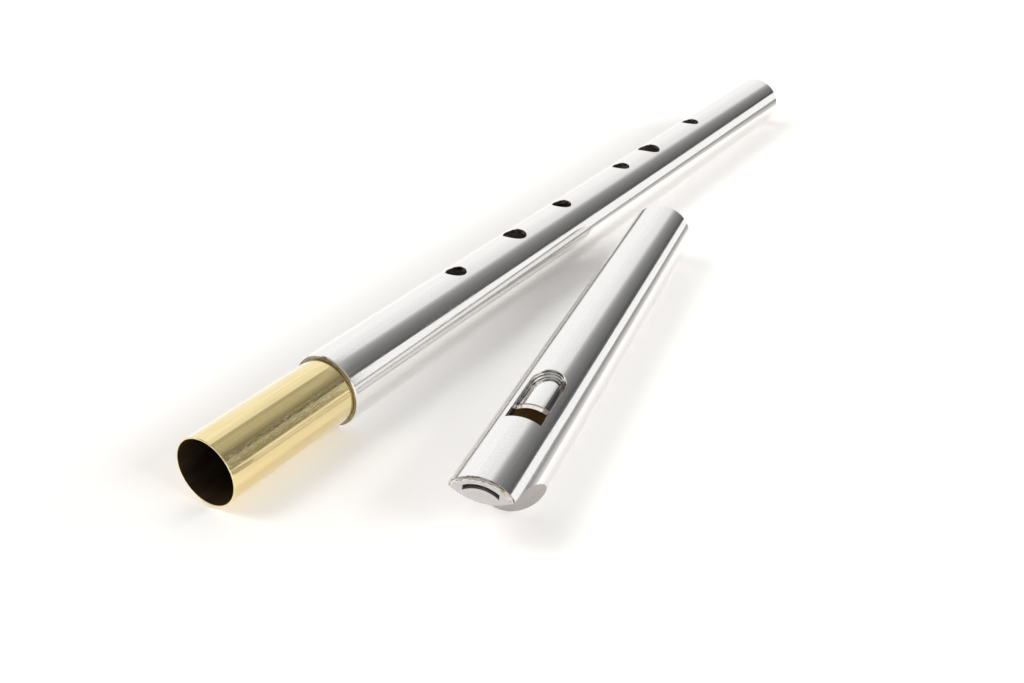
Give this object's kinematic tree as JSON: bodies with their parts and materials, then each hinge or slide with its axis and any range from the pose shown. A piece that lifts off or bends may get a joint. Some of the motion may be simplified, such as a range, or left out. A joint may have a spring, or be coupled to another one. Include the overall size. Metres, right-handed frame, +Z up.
{
  "type": "low whistle",
  "caption": "Low whistle shown taken apart: finger-hole body tube with brass tuning sleeve, and a head with scooped beak, arched windway and U-shaped window.",
  "frame": {"origin": "on the body tube's axis, at the end face that the brass tuning sleeve leaves", "axes": "+X along the body towards its open foot, +Z up from the table it lies on, +Y away from the head"},
  "size_m": [0.423, 0.0999, 0.0254],
  "materials": {
    "polished_aluminium": "polished",
    "satin_aluminium": "satin",
    "brass": "polished, worn by sliding"
  },
  "bodies": {
    "body": {"body_tube": "polished_aluminium"},
    "slide": {"tuning_sleeve": "brass"},
    "head": {"head_tube": "polished_aluminium", "windway_sleeve": "polished_aluminium", "fipple_plug": "satin_aluminium"}
  },
  "joints": [
    {"name": "tuning_slide", "type": "slide", "parent": "body", "child": "slide", "axis": [-1, 0, 0], "range_m": [0, 0.02]},
    {"name": "head_turn", "type": "hinge", "parent": "body", "child": "head", "pos_m": [0.17332, -0.03542, -0.0003], "axis": [0.9792, 0.2028, 0], "range_deg": [-180, 180]}
  ]
}
